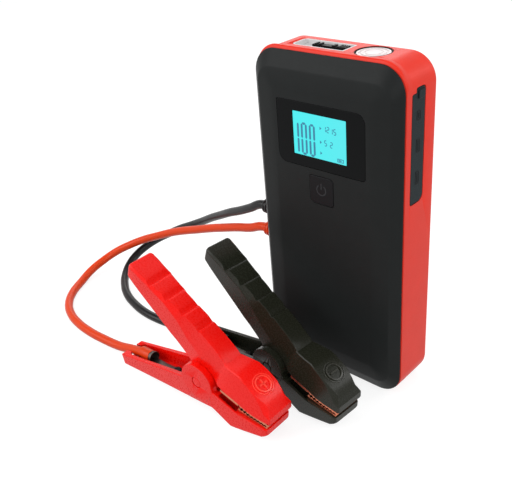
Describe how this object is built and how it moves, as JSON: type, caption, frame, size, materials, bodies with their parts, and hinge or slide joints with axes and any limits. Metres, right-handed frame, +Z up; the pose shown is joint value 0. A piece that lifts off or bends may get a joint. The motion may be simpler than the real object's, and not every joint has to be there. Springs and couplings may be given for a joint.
{
  "type": "jump starter pack",
  "caption": "Upright red and black battery pack with display, power button, top torch and side port cover, and a plug-in lead with red and black battery clamps.",
  "frame": {"origin": "on the surface it stands on, under the centre of the pack", "axes": "+Z up; -Y is the side the display faces; +X is the side with the port cover; the lead leaves towards -X"},
  "size_m": [0.2491, 0.1086, 0.1813],
  "materials": {
    "red_plastic": "fine satin red",
    "black_plastic": "fine satin black",
    "window": "polished black",
    "lit_display": "lit cyan",
    "pale_plastic": "pale grey",
    "circuit_board": "green lacquer",
    "cell_foil": "laminated foil",
    "foam": "open foam",
    "copper": "bright copper plate",
    "steel": "plain steel",
    "brass": "turned brass",
    "bright_metal": "bright plate",
    "clear_lens": "clear, bright behind",
    "grey_rubber": "matte dark grey",
    "black_rubber": "smooth black",
    "red_rubber": "smooth orange-red",
    "red_clamp_plastic": "semi-gloss bright red",
    "black_clamp_plastic": "semi-gloss black"
  },
  "bodies": {
    "pack": {"rear_shell": "red_plastic", "front_cover": "black_plastic", "display_window": "window", "lcd_panel": "lit_display", "lcd_backlight": "pale_plastic", "power_switch_body": "black_plastic", "main_board": "circuit_board", "battery_cell_1": "cell_foil", "battery_cell_2": "cell_foil", "battery_cell_3": "cell_foil", "battery_cell_4": "cell_foil", "foam_pad_front": "foam", "foam_pad_back": "foam", "strap_positive": "copper", "strap_negative": "copper", "case_screw_1": "steel", "case_screw_2": "steel", "case_screw_3": "steel", "case_screw_4": "steel", "torch_lens": "clear_lens", "torch_bezel": "black_plastic", "torch_reflector": "bright_metal", "torch_board": "circuit_board", "torch_led": "pale_plastic", "torch_switch_bezel": "pale_plastic", "torch_switch_body": "black_plastic", "usb_a_socket_1": "steel", "usb_a_socket_2": "steel", "usb_c_socket": "steel", "jump_socket": "black_plastic", "socket_contact_negative": "brass", "socket_contact_positive": "brass"},
    "button": {"power_button": "black_plastic", "power_switch_plunger": "pale_plastic"},
    "torch_slider": {"torch_switch_slider": "black_plastic"},
    "cover": {"side_port_cover": "grey_rubber"},
    "jump_lead": {"plug_body": "black_plastic", "plug_pin_negative": "brass", "plug_pin_positive": "brass", "plug_boot_negative": "black_rubber", "plug_boot_positive": "red_rubber", "cable_red": "red_rubber", "cable_black": "black_rubber", "red_clamp_lower_lever": "red_clamp_plastic", "red_clamp_lower_jaw": "copper", "red_clamp_pivot_pin": "red_clamp_plastic", "red_clamp_spring": "steel", "red_clamp_cable_lug": "bright_metal", "red_clamp_lug_screw": "steel", "black_clamp_lower_lever": "black_clamp_plastic", "black_clamp_lower_jaw": "copper", "black_clamp_pivot_pin": "black_clamp_plastic", "black_clamp_spring": "steel", "black_clamp_cable_lug": "bright_metal", "black_clamp_lug_screw": "steel"},
    "red_clamp_upper": {"red_clamp_upper_lever": "red_clamp_plastic", "red_clamp_upper_jaw": "copper"},
    "black_clamp_upper": {"black_clamp_upper_lever": "black_clamp_plastic", "black_clamp_upper_jaw": "copper"}
  },
  "joints": [
    {"name": "power_button_press", "type": "slide", "parent": "pack", "child": "button", "axis": [0, 1, 0], "range_m": [0, 0.0008], "stiffness_N_per_m": 900, "springref_m": -0.0004},
    {"name": "torch_switch_slide", "type": "slide", "parent": "pack", "child": "torch_slider", "axis": [-1, 0, 0], "range_m": [0, 0.007]},
    {"name": "side_cover_swing", "type": "hinge", "parent": "pack", "child": "cover", "pos_m": [0.04375, 0, 0.1122], "axis": [0, 1, 0], "range_deg": [0, 100]},
    {"name": "lead_plug_pull", "type": "slide", "parent": "pack", "child": "jump_lead", "axis": [-1, 0, 0], "range_m": [0, 0.018]},
    {"name": "red_clamp_open", "type": "hinge", "parent": "jump_lead", "child": "red_clamp_upper", "pos_m": [-0.0356, -0.0741, 0.0195], "axis": [0.0236, -0.9997, 0], "range_deg": [0, 28], "stiffness_Nm_per_rad": 0.8, "springref_deg": -28.65, "deforming": ["red_clamp_spring"]},
    {"name": "black_clamp_open", "type": "hinge", "parent": "jump_lead", "child": "black_clamp_upper", "pos_m": [-0.0128, -0.042, 0.0195], "axis": [-0.068, -0.9977, 0], "range_deg": [0, 28], "stiffness_Nm_per_rad": 0.8, "springref_deg": -28.65, "deforming": ["black_clamp_spring"]}
  ]
}
